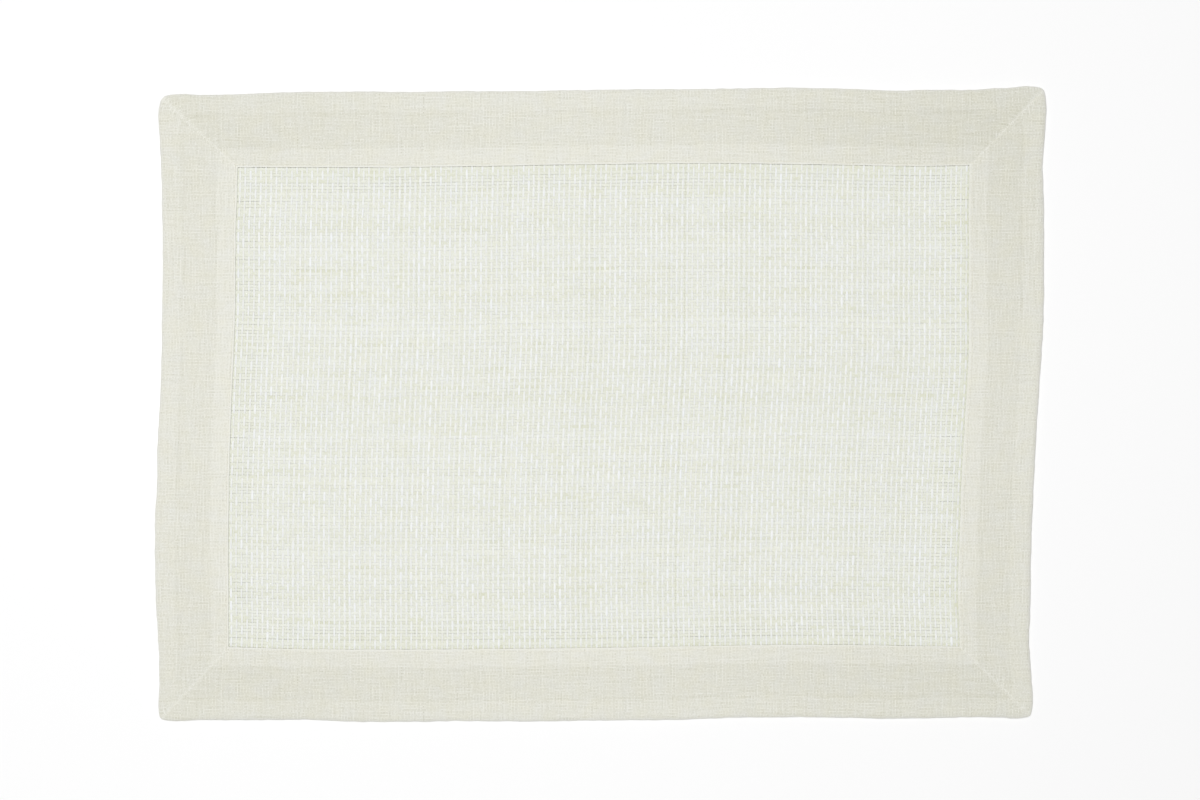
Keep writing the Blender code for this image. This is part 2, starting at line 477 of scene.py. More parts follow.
# The same linen, spun finer: it reads as a thin ivory line, its fibres combed along y.
IVORY_END = Yarn(
    name="ivory_linen_end_yarn", light="#EBEDE9", shade="#D3D5C0",
    roughness=0.85, fibre_mm=(0.25, 3.0, 0.25),
)
# Polished cotton thread, twisted hard: smoother than the linen under it, so it catches a little
# more light, and as ivory, so the row hardly shows.
SEWING_THREAD = Yarn(
    name="ivory_sewing_thread", light="#E6E5DA", shade="#D2D1C2",
    roughness=0.6, fibre_mm=(0.2, 0.2, 0.2),
)


# ---- Geometry trees ----


@dataclass(frozen=True)
class YarnSize:
    """A yarn's section and how it runs through the weave, in millimetres."""

    sides: int = 4  # of its section
    width: float = 1.0
    thickness: float = 0.4
    rise: float = 0.2  # over and under the middle of the cloth
    wander: float = 0.1  # sideways
    wave: float = 20.0  # the usual length of a swing sideways
    seed: int = 1


@dataclass(frozen=True)
class StitchSize:
    """A row of stitches, in millimetres: how far apart they start, their length and thickness."""

    pitch: float = 2.9
    length: float = 2.2
    thickness: float = 0.45


def named_inputs(size: YarnSize | StitchSize) -> dict[str, float]:
    """The sizes by the names that a tree's inputs have."""
    return {name.capitalize(): value for name, value in asdict(size).items()}


class ShapeTree:
    """A Geometry Nodes tree under construction, with named inputs."""

    def __init__(self, name: str, size: YarnSize | StitchSize) -> None:
        """Starts a tree that takes paths, sizes and a material.

        Args:
            name: The tree's name.
            size: Its sizes, with the values that its inputs have at first.
        """
        self.tree = bpy.data.node_groups.new(name, "GeometryNodeTree")
        self.add = partial(add_node, self.tree)
        face = self.tree.interface
        face.new_socket("Paths", in_out="INPUT", socket_type="NodeSocketGeometry")
        for key, value in named_inputs(size).items():
            kind = "NodeSocketInt" if isinstance(value, int) else "NodeSocketFloat"
            face.new_socket(key, in_out="INPUT", socket_type=kind).default_value = value
        face.new_socket("Material", in_out="INPUT", socket_type="NodeSocketMaterial")
        face.new_socket("Cloth", in_out="OUTPUT", socket_type="NodeSocketGeometry")
        self.given = self.add("NodeGroupInput").outputs

    def finish(self, shape: Node) -> NodeTree:
        """Ends the tree in Realize Instances and Set Material.

        Args:
            shape: The node whose geometry comes out.

        Returns:
            The finished tree.
        """
        real = self.add("GeometryNodeRealizeInstances", [shape])
        dress = {"Geometry": real, "Material": self.given["Material"]}
        self.add("NodeGroupOutput", [self.add("GeometryNodeSetMaterial", dress)])
        return self.tree


def yarn_tree() -> NodeTree:
    """Builds the tree that lifts each path over and under and sweeps a flattened yarn along it.

    Returns:
        The tree. Its paths have two attributes: over, from -1 to 1, and swell, a share of the
        yarn's usual size.
    """
    made = ShapeTree("woven_yarn", YarnSize())
    add, given = made.add, made.given
    over = add("GeometryNodeInputNamedAttribute", {"Name": "over"})
    swell = add("GeometryNodeInputNamedAttribute", {"Name": "swell"})
    place = add("GeometryNodeInputPosition")
    scale = add(MATH, [1 / MM, given["Wave"]], operation="DIVIDE")
    look = {"Vector": place, "W": given["Seed"], "Scale": scale, "Detail": 1.0}
    noise = add(NOISE, look, noise_dimensions="4D").outputs["Color"]
    centred = add("ShaderNodeVectorMath", [noise, (0.5, 0.5, 0.5)], operation="SUBTRACT")
    reach = add(MATH, [given["Wander"], MM / NOISE_REACH], operation="MULTIPLY")
    wander = add("ShaderNodeVectorMath", {0: centred, "Scale": reach}, operation="SCALE")
    x, y, _ = add("ShaderNodeSeparateXYZ", [wander]).outputs
    rise = add(MATH, [given["Rise"], MM], operation="MULTIPLY")
    lift = add(MATH, [over, rise], operation="MULTIPLY")
    offset = add("ShaderNodeCombineXYZ", [x, y, lift])
    woven = add("GeometryNodeSetPosition", {"Geometry": given["Paths"], "Offset": offset})
    curve = add("GeometryNodeMeshToCurve", [woven])
    level = add("GeometryNodeSetCurveNormal", [curve], mode="Z_UP")
    round_ring = {"Resolution": given["Sides"], "Radius": 0.5 * MM}
    ring = add("GeometryNodeCurvePrimitiveCircle", round_ring)
    size = add("ShaderNodeCombineXYZ", [given["Width"], given["Thickness"], 1.0])
    section = add("GeometryNodeTransform", {"Geometry": ring, "Scale": size})
    sweep = {"Curve": level, "Profile Curve": section, "Scale": swell, "Fill Caps": True}
    swept = add("GeometryNodeCurveToMesh", sweep)
    bend = add("GeometryNodeInputMeshEdgeAngle")
    crease = add(MATH, [bend, SHARP_YARN], operation="GREATER_THAN")
    creased = {"Geometry": swept, "Selection": crease, "Shade Smooth": False}
    return made.finish(add("GeometryNodeSetShadeSmooth", creased, domain="EDGE"))


def stitch_tree() -> NodeTree:
    """Builds the tree that lays a row of stitches along each path.

    Returns:
        The tree.
    """
    made = ShapeTree("stitch_row", StitchSize())
    add, given = made.add, made.given
    pitch = add(MATH, [given["Pitch"], MM], operation="MULTIPLY")
    length = add(MATH, [given["Length"], 0.5 * MM], operation="MULTIPLY")
    thickness = add(MATH, [given["Thickness"], 0.5 * MM], operation="MULTIPLY")
    curve = add("GeometryNodeMeshToCurve", [given["Paths"]])
    points = add("GeometryNodeCurveToPoints", {"Curve": curve, "Length": pitch}, mode="LENGTH")
    tangent = {"Vector": points.outputs["Tangent"]}
    bead = add("GeometryNodeMeshUVSphere", {"Segments": 8, "Rings": 6, "Radius": 1.0})
    row = {
        "Points": points,
        "Instance": add("GeometryNodeSetShadeSmooth", [bead]),
        "Rotation": add("FunctionNodeAlignRotationToVector", tangent, axis="X"),
        "Scale": add("ShaderNodeCombineXYZ", [length, thickness, thickness]),
    }
    return made.finish(add("GeometryNodeInstanceOnPoints", row))


def grow(name: str, tree: NodeTree, paths: Mesh, finish: Material, size: YarnSize | StitchSize) -> Object:
    """Runs a tree on paths and keeps the result as a plain mesh.

    Args:
        name: The piece's name.
        tree: A tree made by one of the functions above.
        paths: Its lines.
        finish: Its material.
        size: The values of the tree's sizes.

    Returns:
        The piece, at the origin.
    """
    source = put_in_scene(name + "_paths", paths)
    modifier = source.modifiers.new("tree", "NODES")
    modifier.node_group = tree
    values = {"Material": finish, **named_inputs(size)}
    for item in tree.interface.items_tree:
        if item.name in values:
            modifier[item.identifier] = values[item.name]
    seen = source.evaluated_get(bpy.context.evaluated_depsgraph_get())
    mesh = bpy.data.meshes.new_from_object(seen)
    source.modifiers.remove(modifier)
    bpy.data.objects.remove(source)
    mesh.name = name
    return put_in_scene(name, mesh)


# ---- The outline ----


@dataclass
class Side:
    """One side of the mat: the two edges of its strip, read from the strip's solid."""

    name: SideName
    fold_height: float = 1.25  # of the outermost line of the solid's rounded fold
    lip_height: float = 0.5  # of the innermost line of its lower layer
    setback: float = 0.21  # of the solid's ends from the mitres, along the side
    near_enough: float = 0.01

    def __post_init__(self) -> None:
        """Reads both edges, in the same order."""
        self.outer = self.line_at(self.fold_height)
        self.inner = self.line_at(self.lip_height)

    def line_at(self, height: float) -> Array:
        """Finds the corners that the solid has at a height.

        Args:
            height: One of its own heights.

        Returns:
            Their places from above, in order along the side, the first and last on the mitres.
        """
        places = vertex_places(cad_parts[self.name.node].data).astype(float) / MM
        level = np.abs(places[:, 2] - height) < self.near_enough
        found = np.unique(places[level, :2].round(2), axis=0)
        axis = self.name.axis
        found = found[np.argsort(found[:, axis])]
        found[0, axis] -= self.setback
        found[-1, axis] += self.setback
        return found

    @property
    def length(self) -> float:
        """The strip's usual length, between its two edges' lengths."""
        return float(distances(self.outer)[-1] + distances(self.inner)[-1]) / 2

    def edge(self, points: Array, shares: Array) -> Array:
        """Reads an edge at shares of its own length."""
        knots = distances(points)
        return curve_through(knots, points, shares * knots[-1])


@dataclass
class Outline:
    """The mat's four sides, and the opening between them."""

    sides: dict[SideName, Side] = field(default_factory=lambda: {name: Side(name) for name in SideName})

    def opening(self, name: SideName, at: Array) -> Array:
        """Reads where a side's inner edge lies across the mat.

        Args:
            name: Which side.
            at: Places along it in millimetres: x on a long side, y on a short one.

        Returns:
            y on a long side, x on a short one, in the shape of at.
        """
        inner = self.sides[name].inner
        across = curve_through(inner[:, name.axis], inner[:, 1 - name.axis], at.ravel())
        return across.reshape(at.shape)

    @property
    def corners(self) -> tuple[float, ...]:
        """The opening's usual left, right, near and far limits."""
        order = (SideName.LEFT, SideName.RIGHT, SideName.NEAR, SideName.FAR)
        return tuple(float(self.sides[name].inner[:, 1 - name.axis].mean()) for name in order)


# ---- The strips ----


@dataclass(frozen=True)
class Line:
    """A soft line along or across the cloth: where its middle lies, and half its width."""

    at: float
    half: float
    size: float = 1.0  # how light, dark or deep it is

    def read(self, places: Array) -> Array:
        """The line's share at places across it."""
        return self.size * np.exp(-(((places - self.at) / self.half) ** 2))


@dataclass
class LinenStrip:
    """One of the folded strips round the mat.

    Its section is a flattened C: a lower layer, an upper one, the rounded fold along the mat's
    edge that joins them, and between them the slot that takes the centre's edge. The cloth turned
    in along both edges of the upper layer makes it thicker there.
    """

    side: Side
    finish: Material
    rng: np.random.Generator
    tones: Triple  # how much lighter it is at its start, middle and end
    width: float = 42.6
    turned_in: float = 22.0  # of the cloth's width, along both edges
    mitred: float = 40.0  # of its length, cut off and turned in at both ends

    slot_end: float = 1.75  # of the slot, from the outer edge
    slot_floor: float = 1.0
    slot_roof: Pair = (1.3, 2.5)  # at its end, and over the centre
    roof_climb: Pair = (23.8, 31.8)  # between which it climbs
    lip_ends: Pair = (41.6, 41.2)  # where the slot's floor and roof end
    fold_top: float = 2.5
    fold_edge: float = 0.9  # the height of its outermost line
    fold_run: float = 3.4  # over which the upper layer comes down to it
    outer_allowance: float = 11.8  # how far the cloth turned in there reaches
    inner_allowance: float = 32.2  # and where the inner edge's begins
    valley: float = 2.14  # the single cloth's height beside the first
    shoulder: float = 2.8  # and beside the second
    lip_top: float = 2.85
    lip_round: float = 0.15
    step: float = 1.4  # over which the thickness changes
    top_runs: tuple[tuple[float, float, int], ...] = (
        (41.4, 34.0, 6), (33.0, 30.9, 5), (29.5, 14.5, 9), (13.2, 10.6, 6), (9.4, 3.8, 5)
    )  # of points on the upper side, close together where it climbs

    ends: tuple[float, ...] = (0.0, 0.4, 0.9, 1.5, 2.2, 3.0, 4.0, 5.2)  # sections near a mitre
    ends_run: float = 6.6  # where the even sections begin
    spacing: float = 2.0  # of the even ones
    calm_run: float = 8.0  # over which it grows even towards its mitres
    fold_swings: tuple[Swing, ...] = ((0.16, 9.0), (0.10, 4.0))  # of the outer edge
    lip_swings: tuple[Swing, ...] = ((0.12, 12.0), (0.06, 5.0))  # of the inner edge
    fades: tuple[int, int] = (3, 6)  # the powers by which the two die away across the strip
    puckers: tuple[Swing, ...] = ((0.10, 45.0), (0.05, 14.0))  # in the upper side's height
    pucker_bands: int = 5  # side by side

    slant: float = 0.7  # from the mitre's line, as a share of the distance along the strip
    groove: Line = Line(0.0, 0.6, 0.25)  # where two strips meet
    mitre_light: Line = Line(0.35, 0.3, 0.2)  # the pressed edge beside it
    fold_painted_light: Line = Line(0.0, 0.8, 0.5)  # painted light along the mat's outer edge, over the fold's shaded side
    lip_painted_light: Line = Line(42.4, 0.6, 0.45)  # and painted light along its opening, over the lip's shaded edge
    ridge: Line = Line(12.8, 0.9)  # painted shade at the foot of the outer allowance's step
    ridge_painted_shade: float = 0.06
    ridge_swings: tuple[Swing, ...] = ((0.06, 50.0), (0.04, 14.0))
    layer_light: Pair = (0.05, 0.13)  # over the two allowances
    spill: float = 1.0  # how far it reaches past their edges

    def __post_init__(self) -> None:
        """Works out where its sections stand, and draws its section."""
        length = self.side.length
        ends = np.array(self.ends)
        even = np.linspace(self.ends_run, length - self.ends_run, int(length / self.spacing))
        self.along = np.concatenate([ends, even, length - ends[::-1]])
        self.from_end = np.minimum(self.along, length - self.along)
        self.across, self.height, self.upper = self.section()

    def top_height(self, across: Array) -> Array:
        """Works out the upper side's height.

        Args:
            across: Distances from the outer edge.

        Returns:
            The height at each.
        """
        low, high = self.outer_allowance - self.step / 2, self.inner_allowance - self.step / 2
        rise = np.clip((across - low) / (high - low), 0, 1)
        single = self.valley + (self.shoulder - self.valley) * rise
        outer = 1 - ease((across - low) / self.step)
        inner = ease((across - high) / self.step)
        height = single + outer * (self.fold_top - self.valley) + inner * (self.lip_top - self.shoulder)
        round_off = np.clip((across - (self.width - self.lip_round)) / self.lip_round, 0, 1)
        return height - self.lip_round * (1 - np.sqrt(1 - round_off**2))

    def section(self) -> tuple[Array, Array, Array]:
        """Draws the section: along the lower layer, round the slot and back over the top.

        Returns:
            Its points' distances from the outer edge, their heights, and 1 for those on the upper
            side, which shows and is uneven, or else 0.
        """
        # The points' angles round the two lips and the pressed fold.
        low_lip = np.radians(np.arange(10, 90, 16.0))
        high_lip = np.radians(np.arange(90, 9, -20.0))
        over_fold = np.radians(np.arange(0, 91, 10.0))
        under_fold = np.radians(np.arange(15, 90, 15.0))
        lip, inner, edge = self.lip_round, self.width - self.lip_round, self.fold_edge
        floor_end, roof_end = self.lip_ends
        roof = np.array([self.slot_end, *np.linspace(*self.roof_climb, 5), roof_end])
        low, high = self.slot_roof
        start, stop = self.roof_climb
        runs = [np.linspace(*run) for run in self.top_runs]
        top = np.concatenate([inner + lip * np.sin(high_lip), *runs])
        parts = [
            (np.linspace(edge, inner, 6), np.zeros(6), 0),
            (inner + lip * np.sin(low_lip), lip * (1 - np.cos(low_lip)), 0),
            (inner + lip * np.cos(low_lip), lip * (1 + np.sin(low_lip)), 0),
            (np.array([floor_end, self.slot_end]), np.full(2, self.slot_floor), 0),
            (roof, low + (high - low) * ease((roof - start) / (stop - start)), 0),
            (top, self.top_height(top), 1),
            (self.fold_run * (1 - np.sin(over_fold)), edge + (self.fold_top - edge) * np.cos(over_fold), 1),
            (edge * (1 - np.cos(under_fold)), edge * (1 - np.sin(under_fold)), 0),
        ]
        across, height = (np.concatenate([part[i] for part in parts]) for i in (0, 1))
        return across, height, np.concatenate([np.full(len(run), shows) for run, _, shows in parts])

    def places(self) -> Array:
        """Lays the sections side by side.

        Returns:
            Places in millimetres, as (section, point, axis).
        """
        side, rng, along = self.side, self.rng, self.along
        share = self.across / self.width
        calm = ease(self.from_end / self.calm_run)[:, None]
        outer, inner = (side.edge(line, along / side.length) for line in (side.outer, side.inner))
        plan = outer[:, None] * (1 - share)[:, None] + inner[:, None] * share[:, None]
        at_fold = drift(rng, along, *self.fold_swings)[0][:, None] * (1 - share) ** self.fades[0]
        at_lip = drift(rng, along, *self.lip_swings)[0][:, None] * share ** self.fades[1]
        plan += ((at_fold + at_lip) * calm)[..., None] * side.name.outward
        rows = drift(rng, along, *self.puckers, lines=self.pucker_bands + 1)
        band = np.minimum((share * self.pucker_bands).astype(int), self.pucker_bands - 1)
        blend = ease(share * self.pucker_bands - band)[:, None]
        pucker = (rows[band] * (1 - blend) + rows[band + 1] * blend).T
        groove = self.groove.read(self.from_end[:, None] * self.slant)
        return np.dstack([plan, self.height + self.upper * (pucker * calm - groove)])

    def light(self) -> Array:
        """Works out how much lighter the strip looks for its layers and its own cloth, with painted light
        along its fold and lip and painted shade beside its outer allowance.

        Returns:
            The lightness, for each point of each section.
        """
        across = self.across
        ridge = self.ridge_painted_shade + drift(self.rng, self.along, *self.ridge_swings)[0]
        outer = 1 - ease((across - self.outer_allowance + self.spill) / self.step)
        inner = ease((across - self.inner_allowance + self.spill) / self.step)
        layers = self.layer_light[0] * outer + self.layer_light[1] * inner
        # Painted light along the outer fold and along the lip.
        layers = layers + self.fold_painted_light.read(across) + self.lip_painted_light.read(across)
        mitre = self.mitre_light.read(self.from_end[:, None] * self.slant)
        # Painted shade at the foot of the outer allowance's step; the mitre's edge is lighter.
        marks = layers - ridge[:, None] * self.ridge.read(across) + mitre
        knots = np.array([0.0, 0.5, 1.0]) * self.side.length
        return marks * self.upper + curve_through(knots, np.array(self.tones), self.along)

    def make(self) -> Object:
        """Joins the sections into one closed mesh, with a map that follows the cloth round its fold.

        Returns:
            The piece, in its place.
        """
        name, places = self.side.name, self.places()
        count, ring = places.shape[:2]
        start = np.arange(count - 1)[:, None] * ring
        corner, beside = start + np.arange(ring), start + (np.arange(ring) + 1) % ring
        quads = np.stack([corner, beside, beside + ring, corner + ring], axis=-1).reshape(-1, 4)
        caps = [np.arange(ring)[::-1], np.arange(ring) + (count - 1) * ring]
        faces = [*quads.tolist(), *[cap.tolist() for cap in caps]]
        if name in (SideName.NEAR, SideName.RIGHT):
            faces = [face[::-1] for face in faces]
        mesh = bpy.data.meshes.new(f"linen_strip_{name.value}")
        mesh.from_pydata((places.reshape(-1, 3) * MM).tolist(), [], faces)
        # The lightness holds the layers and the cloth's own tone, and painted light and shade.
        add_value(mesh, "plies_and_painted_light", self.light())
        down = places[..., name.axis]
        around = np.broadcast_to(distances(places[count // 2]), down.shape)
        pair = (down, around) if name.axis == 0 else (around, down)
        add_map(mesh, "cloth", np.stack(pair, axis=-1).reshape(-1, 2))
        mesh.shade_smooth()
        mesh.set_sharp_from_angle(angle=SHARP_CLOTH)
        mesh.materials.append(self.finish)
        strip = put_in_scene(mesh.name, mesh)
        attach(strip, "root")
        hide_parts(name.node)
        return strip


@dataclass
class LinenBorder:
    """The four strips. The photograph's cloth is lighter in the middle of each than at the ends."""

    outline: Outline
    seed: int = 7
    tones: tuple[Triple, ...] = (
        (-0.08, 0.03, -0.20), (-0.08, 0.00, -0.12), (-0.04, 0.06, -0.01), (-0.07, 0.02, -0.12)
    )  # of the strips, in the order of SideName

    def make(self) -> list[Object]:
        """Makes and places the strips, which share one material.

        Returns:
            The four pieces.
        """
        linen, rng = PlainLinen().material(), np.random.default_rng(self.seed)
        strips = zip(self.outline.sides.values(), self.tones)
        return [LinenStrip(side, linen, rng, tones).make() for side, tones in strips]


# ---- The woven centre ----


@dataclass
class Weave:
    """The centre's grid: where its yarns cross, and how the cloth lies in the opening."""

    outline: Outline
    rng: np.random.Generator
    end_pitch: float = 3.0
    pick_pitch: float = 1.79
    repeat: int = 4  # how many picks a white end's course takes
    shift: int = 2  # by how many the odd ends dive later than the even ones
    hidden: float = 4.5  # how far the yarns run on inside the strips
    thickness: float = 1.0
    rim_height: float = 1.5  # of the cloth's underside between the strips' layers
    level: float = 1.0  # how far into the opening it keeps that height
    fall: float = 16.0  # over which it comes down to the table
    rim_painted_shade: float = 0.16  # painted shade: how much darker it is beside the strips
    rim_reach: float = 9.0
    seam_painted_shade: float = 0.45  # and painted shade right beside the right and near ones
    seam_reach: float = 1.0

    def __post_init__(self) -> None:
        """Works out how many yarns cross the opening, and numbers them, the hidden ones too."""
        left, right, near, far = self.outline.corners
        self.width, self.depth = right - left, far - near
        self.ends = round(self.width / self.end_pitch)
        self.picks = round(self.depth / self.pick_pitch / self.repeat) * self.repeat
        spare = math.ceil(self.hidden / self.end_pitch)
        self.columns = np.arange(-spare, self.ends + spare)
        self.spare_picks = math.ceil(self.hidden / self.pick_pitch)
        self.rows = np.arange(-self.spare_picks, self.picks + self.spare_picks)

    def lay(self, u: Array, v: Array) -> tuple[Array, Array]:
        """Finds places in the middle of the cloth's thickness.

        Args:
            u: Shares of the way from the left to the right.
            v: Shares of the way from the far side to the near one, of the same shape as u.

        Returns:
            Millimetres, as (..., 3), and how much painted shade lies beside the strips at each place.
        """
        *_, near, far = self.outline.corners
        y = far + (near - far) * v
        # The edges are nearly straight, so the second pass finds where the two lines cross.
        for _ in range(2):
            left, right = (self.outline.opening(name, y) for name in (SideName.LEFT, SideName.RIGHT))
            x = left + (right - left) * u
            top, bottom = (self.outline.opening(name, x) for name in (SideName.FAR, SideName.NEAR))
            y = top + (bottom - top) * v
        from_right, from_near = (1 - u) * self.width, (1 - v) * self.depth
        from_side = np.minimum(u * self.width, from_right)
        from_end = np.minimum(v * self.depth, from_near)
        down = ease((from_side - self.level) / self.fall) * ease((from_end - self.level) / self.fall)
        rim = np.minimum(from_side, from_end).clip(0) / self.rim_reach
        seam = np.minimum(from_right, from_near).clip(0) / self.seam_reach
        # Painted shade: darker towards the strips, and darkest right beside the right and near ones.
        shade = self.rim_painted_shade * np.exp(-rim) + self.seam_painted_shade * np.exp(-seam)
        return np.stack([x, y, self.rim_height * (1 - down) + self.thickness / 2], axis=-1), shade


@dataclass
class WhiteEnds:
    """Thick cotton ends of one sort, which float over three picks and dive under the fourth.

    The two sorts dive in turn, so the floats lie like bricks.
    """

    weave: Weave
    passing: Passing
    size: YarnSize = YarnSize(4, width=1.08, thickness=0.40, rise=0.22, wander=0.16, wave=26.0, seed=3)
    course: tuple[Triple, ...] = (
        (0.0, -1.0, 0.78), (0.55, 0.08, 0.86), (1.0, 0.84, 1.0),
        (2.0, 1.0, 1.06), (3.0, 0.84, 1.0), (3.45, 0.08, 0.86),
    )  # at how many picks, how high from -1 to 1, and how thick
    overrun: float = 0.6  # past the outermost pick, in picks
    scatter: float = 0.05  # of an end beside its place, in millimetres
    tone: float = 0.36  # the usual share of shade, and how far it strays
    tone_of_end: float = 0.06
    tone_of_float: float = 0.09
    tone_swing: Swing = (0.08, 30.0)
    # painted shade where an end dives under a pick
    dive_painted_shade: float = 0.3
    thick_swing: Swing = (0.07, 8.0)
    thin_float: float = 0.06  # how much thinner a darker float is
    stray_rise: float = 0.08

    def paths(self) -> Mesh:
        """Draws the ends.

        Returns:
            The paths, with each point's height, thickness and shade.
        """
        weave, repeat, rng = self.weave, self.weave.repeat, self.weave.rng
        first = self.passing.value * weave.shift
        columns = weave.columns[weave.columns % 2 == self.passing.value]
        count = len(columns)
        starts = np.arange(-2 * repeat, weave.picks + 2 * repeat, repeat) + first
        at, over, swell = np.array(self.course).T
        at = (starts[:, None] + at).ravel()
        past = weave.spare_picks + self.overrun
        kept = (at > -past) & (at < weave.picks - 1 + past)
        at, over, swell = at[kept], np.tile(over, len(starts))[kept], np.tile(swell, len(starts))[kept]
        u, v = np.meshgrid((columns + 0.5) / weave.ends, (at + 0.5) / weave.picks, indexing="ij")
        u = u + rng.normal(0, self.scatter / weave.width, (count, 1))
        floats = np.floor((at - first) / repeat).astype(int)
        own = rng.standard_normal((count, len(starts) + repeat))[:, floats - floats.min()]
        depth = at * weave.pick_pitch
        tone = self.tone + self.tone_of_end * rng.standard_normal((count, 1))
        tone = tone + drift(rng, depth, self.tone_swing, lines=count) + self.tone_of_float * own
        lines, rim = weave.lay(u, v)
        # Darker for its own tone, for painted shade where it dives, and for painted shade beside the
        # strips.
        shade = np.clip(tone + np.clip(-over, 0, 1) * self.dive_painted_shade + rim, 0, 1)
        thick = swell * (1 + drift(rng, depth, self.thick_swing, lines=count) - self.thin_float * own)
        high = over * (1 + self.stray_rise * rng.standard_normal(u.shape))
        return path_mesh("white_ends", lines, over=high, swell=thick, shade=shade)


@dataclass
class IvoryPicks:
    """The flat linen picks, uneven in thickness, which rise where a white end dives."""

    weave: Weave
    size: YarnSize = YarnSize(4, width=1.68, thickness=0.28, rise=0.14, wander=0.10, wave=24.0, seed=5)
    scatter: float = 0.06  # of a pick beside its place, in millimetres
    stray_rise: float = 0.1
    slub_swings: tuple[Swing, ...] = ((1.0, 13.0), (0.5, 60.0))
    slub_from: float = 0.5  # the swing from which the yarn is a slub
    thick: float = 0.96  # the usual thickness, and how far it strays
    thick_swing: Swing = (0.06, 10.0)
    thick_slub: float = 0.2
    thick_rim: float = 0.6  # the picks lie closer beside the strips
    tone: float = 0.38  # the usual share of shade, and how far it strays
    tone_of_pick: float = 0.06
    tone_slub: float = 0.42
    rise_painted_light: float = 0.16  # painted light: how much lighter a pick is where it rises

    def paths(self) -> Mesh:
        """Draws the picks.

        Returns:
            The paths, with each point's height, thickness and shade.
        """
        weave, rows, rng = self.weave, self.weave.rows, self.weave.rng
        count = len(rows)
        shares = (rows + 0.5) / weave.picks, (weave.columns + 0.5) / weave.ends
        v, u = np.meshgrid(*shares, indexing="ij")
        v = v + rng.normal(0, self.scatter / weave.depth, (count, 1))
        dives = weave.columns % 2 * weave.shift
        over = np.where(rows[:, None] % weave.repeat == dives, 1.0, -1.0)
        over = over * (1 + self.stray_rise * rng.standard_normal(u.shape))
        length = weave.columns * weave.end_pitch
        slub = np.clip(drift(rng, length, *self.slub_swings, lines=count) - self.slub_from, 0, 1)
        lines, rim = weave.lay(u, v)
        thick = self.thick + drift(rng, length, self.thick_swing, lines=count) + self.thick_slub * slub
        thick = thick + self.thick_rim * rim.clip(0, weave.rim_painted_shade)
        tone = self.tone + self.tone_of_pick * rng.standard_normal((count, 1)) + self.tone_slub * slub
        # Lighter for painted light where it rises, darker for painted shade beside the strips.
        shade = np.clip(tone - self.rise_painted_light * np.clip(over, 0, 1) + rim, 0, 1)
        return path_mesh("picks", lines, over=over, swell=thick, shade=shade)


@dataclass
class FineEnds:
    """The fine linen ends between the white ones, which pass every pick in turn and hold it."""

    weave: Weave
    size: YarnSize = YarnSize(3, width=0.45, thickness=0.26, rise=0.20, wander=0.10, wave=14.0, seed=9)
    thick_swing: Swing = (0.1, 10.0)
    tone: float = 0.3  # the usual share of shade, and how far it strays
    tone_of_end: float = 0.2

    def paths(self) -> Mesh:
        """Draws the ends.

        Returns:
            The paths, with each point's height, thickness and shade.
        """
        weave, rows, rng = self.weave, self.weave.rows, self.weave.rng
        columns = weave.columns[1:]
        u, v = np.meshgrid(columns / weave.ends, (rows + 0.5) / weave.picks, indexing="ij")
        flat = np.zeros(u.shape)
        over = np.where(rows % 2 == 0, 1.0, -1.0) + flat
        thick = 1 + drift(rng, rows * weave.pick_pitch, self.thick_swing, lines=len(columns))
        tone = self.tone + self.tone_of_end * rng.standard_normal((len(columns), 1)) + flat
        lines, _ = weave.lay(u, v)
        return path_mesh("fine_ends", lines, over=over, swell=thick, shade=np.clip(tone, 0, 1))


@dataclass
class WovenCentre:
    """The openwork centre, yarn by yarn: ivory picks, white ends over them and fine ends between."""

    outline: Outline
    seed: int = 21

    def make(self) -> list[Object]:
        """Weaves the centre and places it.

        Returns:
            The picks, and the ends that go with them.
        """
        tree = yarn_tree()
        weave = Weave(self.outline, np.random.default_rng(self.seed))
        cotton = WHITE_COTTON.material()
        kinds = {
            "ivory_picks": (IvoryPicks(weave), IVORY_PICK.material()),
            "white_ends_1": (WhiteEnds(weave, Passing.EVEN), cotton),
            "white_ends_2": (WhiteEnds(weave, Passing.ODD), cotton),
            "ivory_ends": (FineEnds(weave), IVORY_END.material()),
        }
        made = []
        for name, (yarns, finish) in kinds.items():
            piece = grow(name, tree, yarns.paths(), finish, yarns.size)
            plan = vertex_places(piece.data)[:, :2]
            low, high = plan.min(axis=0), plan.max(axis=0)
            add_map(piece.data, "OFBake", (plan - low) / (high - low))
            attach(piece, "root")
            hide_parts("centre_panel")
            made.append(piece)
        return made


# ---- The sewing ----


@dataclass
class EdgeStitching:
    """The row of machine stitches that holds the strips' inner edges to the centre."""

    outline: Outline
    size: StitchSize = StitchSize(pitch=1.93, length=1.6, thickness=0.5)
    height: float = 2.81  # of their middle: they sink a little into the lip
    points: int = 240  # on each side's line
    overrun: float = 0.003  # of it past the corners, as a share of its length
    from_edge: tuple[float, ...] = (1.6, 1.9, 1.4, 2.1)  # of the strips, in the order of SideName

    def make(self) -> Object:
        """Sews the row round the opening.

        Returns:
            The row.
        """
        shares = np.linspace(-self.overrun, 1 + self.overrun, self.points)
        lines = []
        for side, gap in zip(self.outline.sides.values(), self.from_edge):
            edge = side.edge(side.inner, shares) + side.name.outward * gap
            lines.append(np.column_stack([edge, np.full(self.points, self.height)]))
        paths = path_mesh("stitch_paths", np.stack(lines))
        row = grow("edge_stitches", stitch_tree(), paths, SEWING_THREAD.material(), self.size)
        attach(row, "root")
        return row


# ---- The studio ----


@dataclass(frozen=True)
class Softbox:
    """A square soft light that faces the mat."""

    name: str
    place: Triple  # in metres, as its size is
    size: float
    watts: float

    def hang(self) -> None:
        """Hangs the light."""
        data = bpy.data.lights.new(self.name, "AREA")
        data.size = self.size
        data.energy = self.watts
        light = put_in_scene(self.name, data)
        light.location = self.place
        light.rotation_euler = (-Vector(self.place)).to_track_quat("-Z", "Y").to_euler()


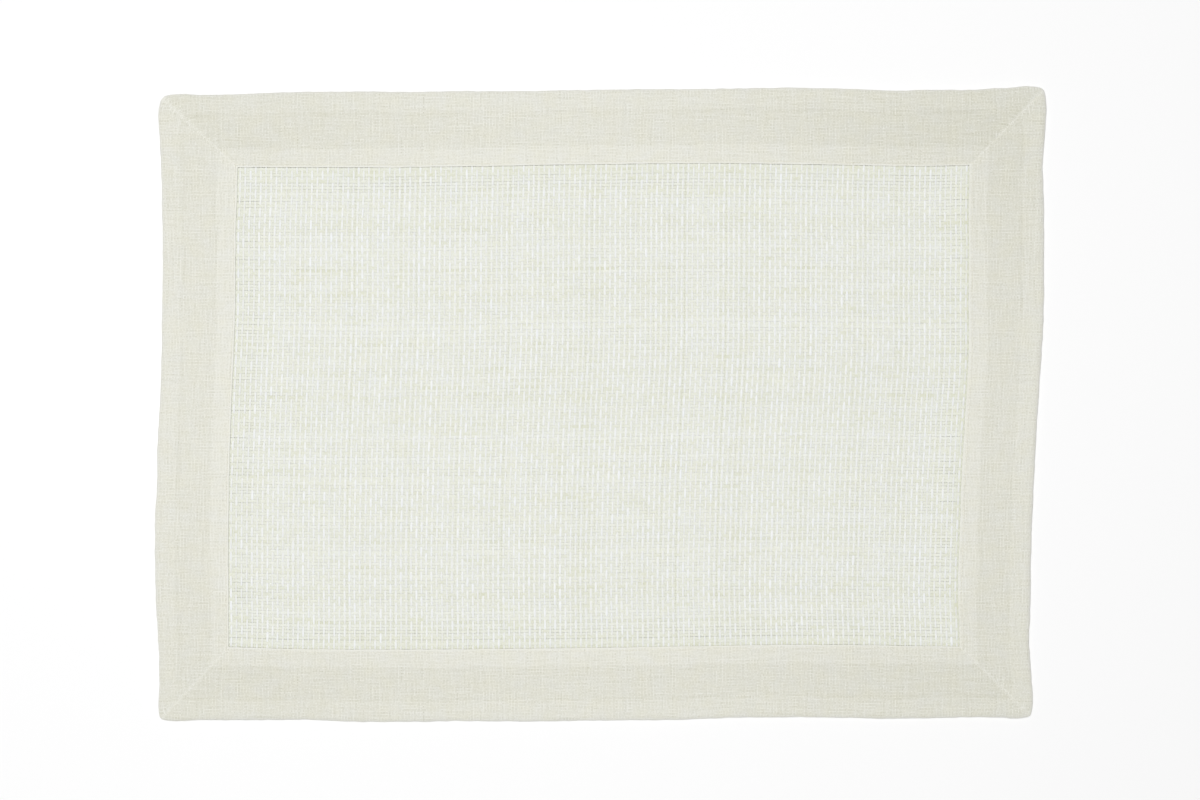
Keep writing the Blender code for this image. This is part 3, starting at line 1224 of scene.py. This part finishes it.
@dataclass
class Studio:
    """A pale floor, soft light, and a camera straight above the mat, as in the photograph."""

    photo_px: int = 1200  # the photograph's width
    pixel_mm: float = 0.58  # and its pixel's, on the mat
    off_middle_px: Pair = (-0.1, 4.7)  # its middle, from the mat's: right and up
    lens_mm: float = 85.0
    sensor_mm: float = 36.0
    cloth_mm: float = 2.8  # the height where the photograph's scale holds
    floor_half: float = 3.0  # in metres, as its drop is
    floor_drop: float = 0.0001  # below the mat's underside
    room_light: float = 0.22
    lights: tuple[Softbox, ...] = (
        Softbox("key", (-0.30, 0.20, 2.3), size=1.4, watts=32.5),
        Softbox("fill", (-0.10, 0.0, 2.7), size=2.2, watts=28.5),
    )

    def lay_floor(self) -> None:
        """Lays the floor."""
        half = self.floor_half
        mesh = bpy.data.meshes.new("floor")
        corners = [(-half, -half, 0), (half, -half, 0), (half, half, 0), (-half, half, 0)]
        mesh.from_pydata(corners, [], [(0, 1, 2, 3)])
        mesh.materials.append(PaintedBoard().material())
        floor = put_in_scene("floor", mesh)
        floor.location.z = -self.floor_drop

    def light(self) -> None:
        """Lights the mat softly from above, a little more from the left."""
        for softbox in self.lights:
            softbox.hang()
        world = bpy.data.worlds.new("soft_white_room")
        world.use_nodes = True
        background = world.node_tree.nodes["Background"]
        background.inputs["Color"].default_value = (1, 1, 1, 1)
        background.inputs["Strength"].default_value = self.room_light
        bpy.context.scene.world = world

    def set_camera(self) -> None:
        """Sets the camera so that a pixel of the photograph is a pixel of the view."""
        distance = self.photo_px * self.pixel_mm / self.sensor_mm * self.lens_mm
        data = bpy.data.cameras.new("camera")
        data.lens = self.lens_mm
        data.sensor_width = self.sensor_mm
        camera = put_in_scene("camera", data)
        x, y = (offset * self.pixel_mm * MM for offset in self.off_middle_px)
        camera.location = (x, y, (distance + self.cloth_mm) * MM)
        bpy.context.scene.camera = camera

    def make(self) -> None:
        """Sets the whole studio up."""
        self.lay_floor()
        self.light()
        self.set_camera()
        bpy.context.scene.view_settings.view_transform = "Standard"


def main() -> None:
    """Dresses the frame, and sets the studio."""
    logging.basicConfig(level=logging.INFO, format="%(name)s: %(message)s")
    outline = Outline()
    strips = LinenBorder(outline).make()
    centre = WovenCentre(outline).make()
    for piece in (*strips, *centre, EdgeStitching(outline).make()):
        LOG.info("%s: %d faces", piece.name, len(piece.data.polygons))
    Studio().make()


if __name__ == "__main__":
    main()
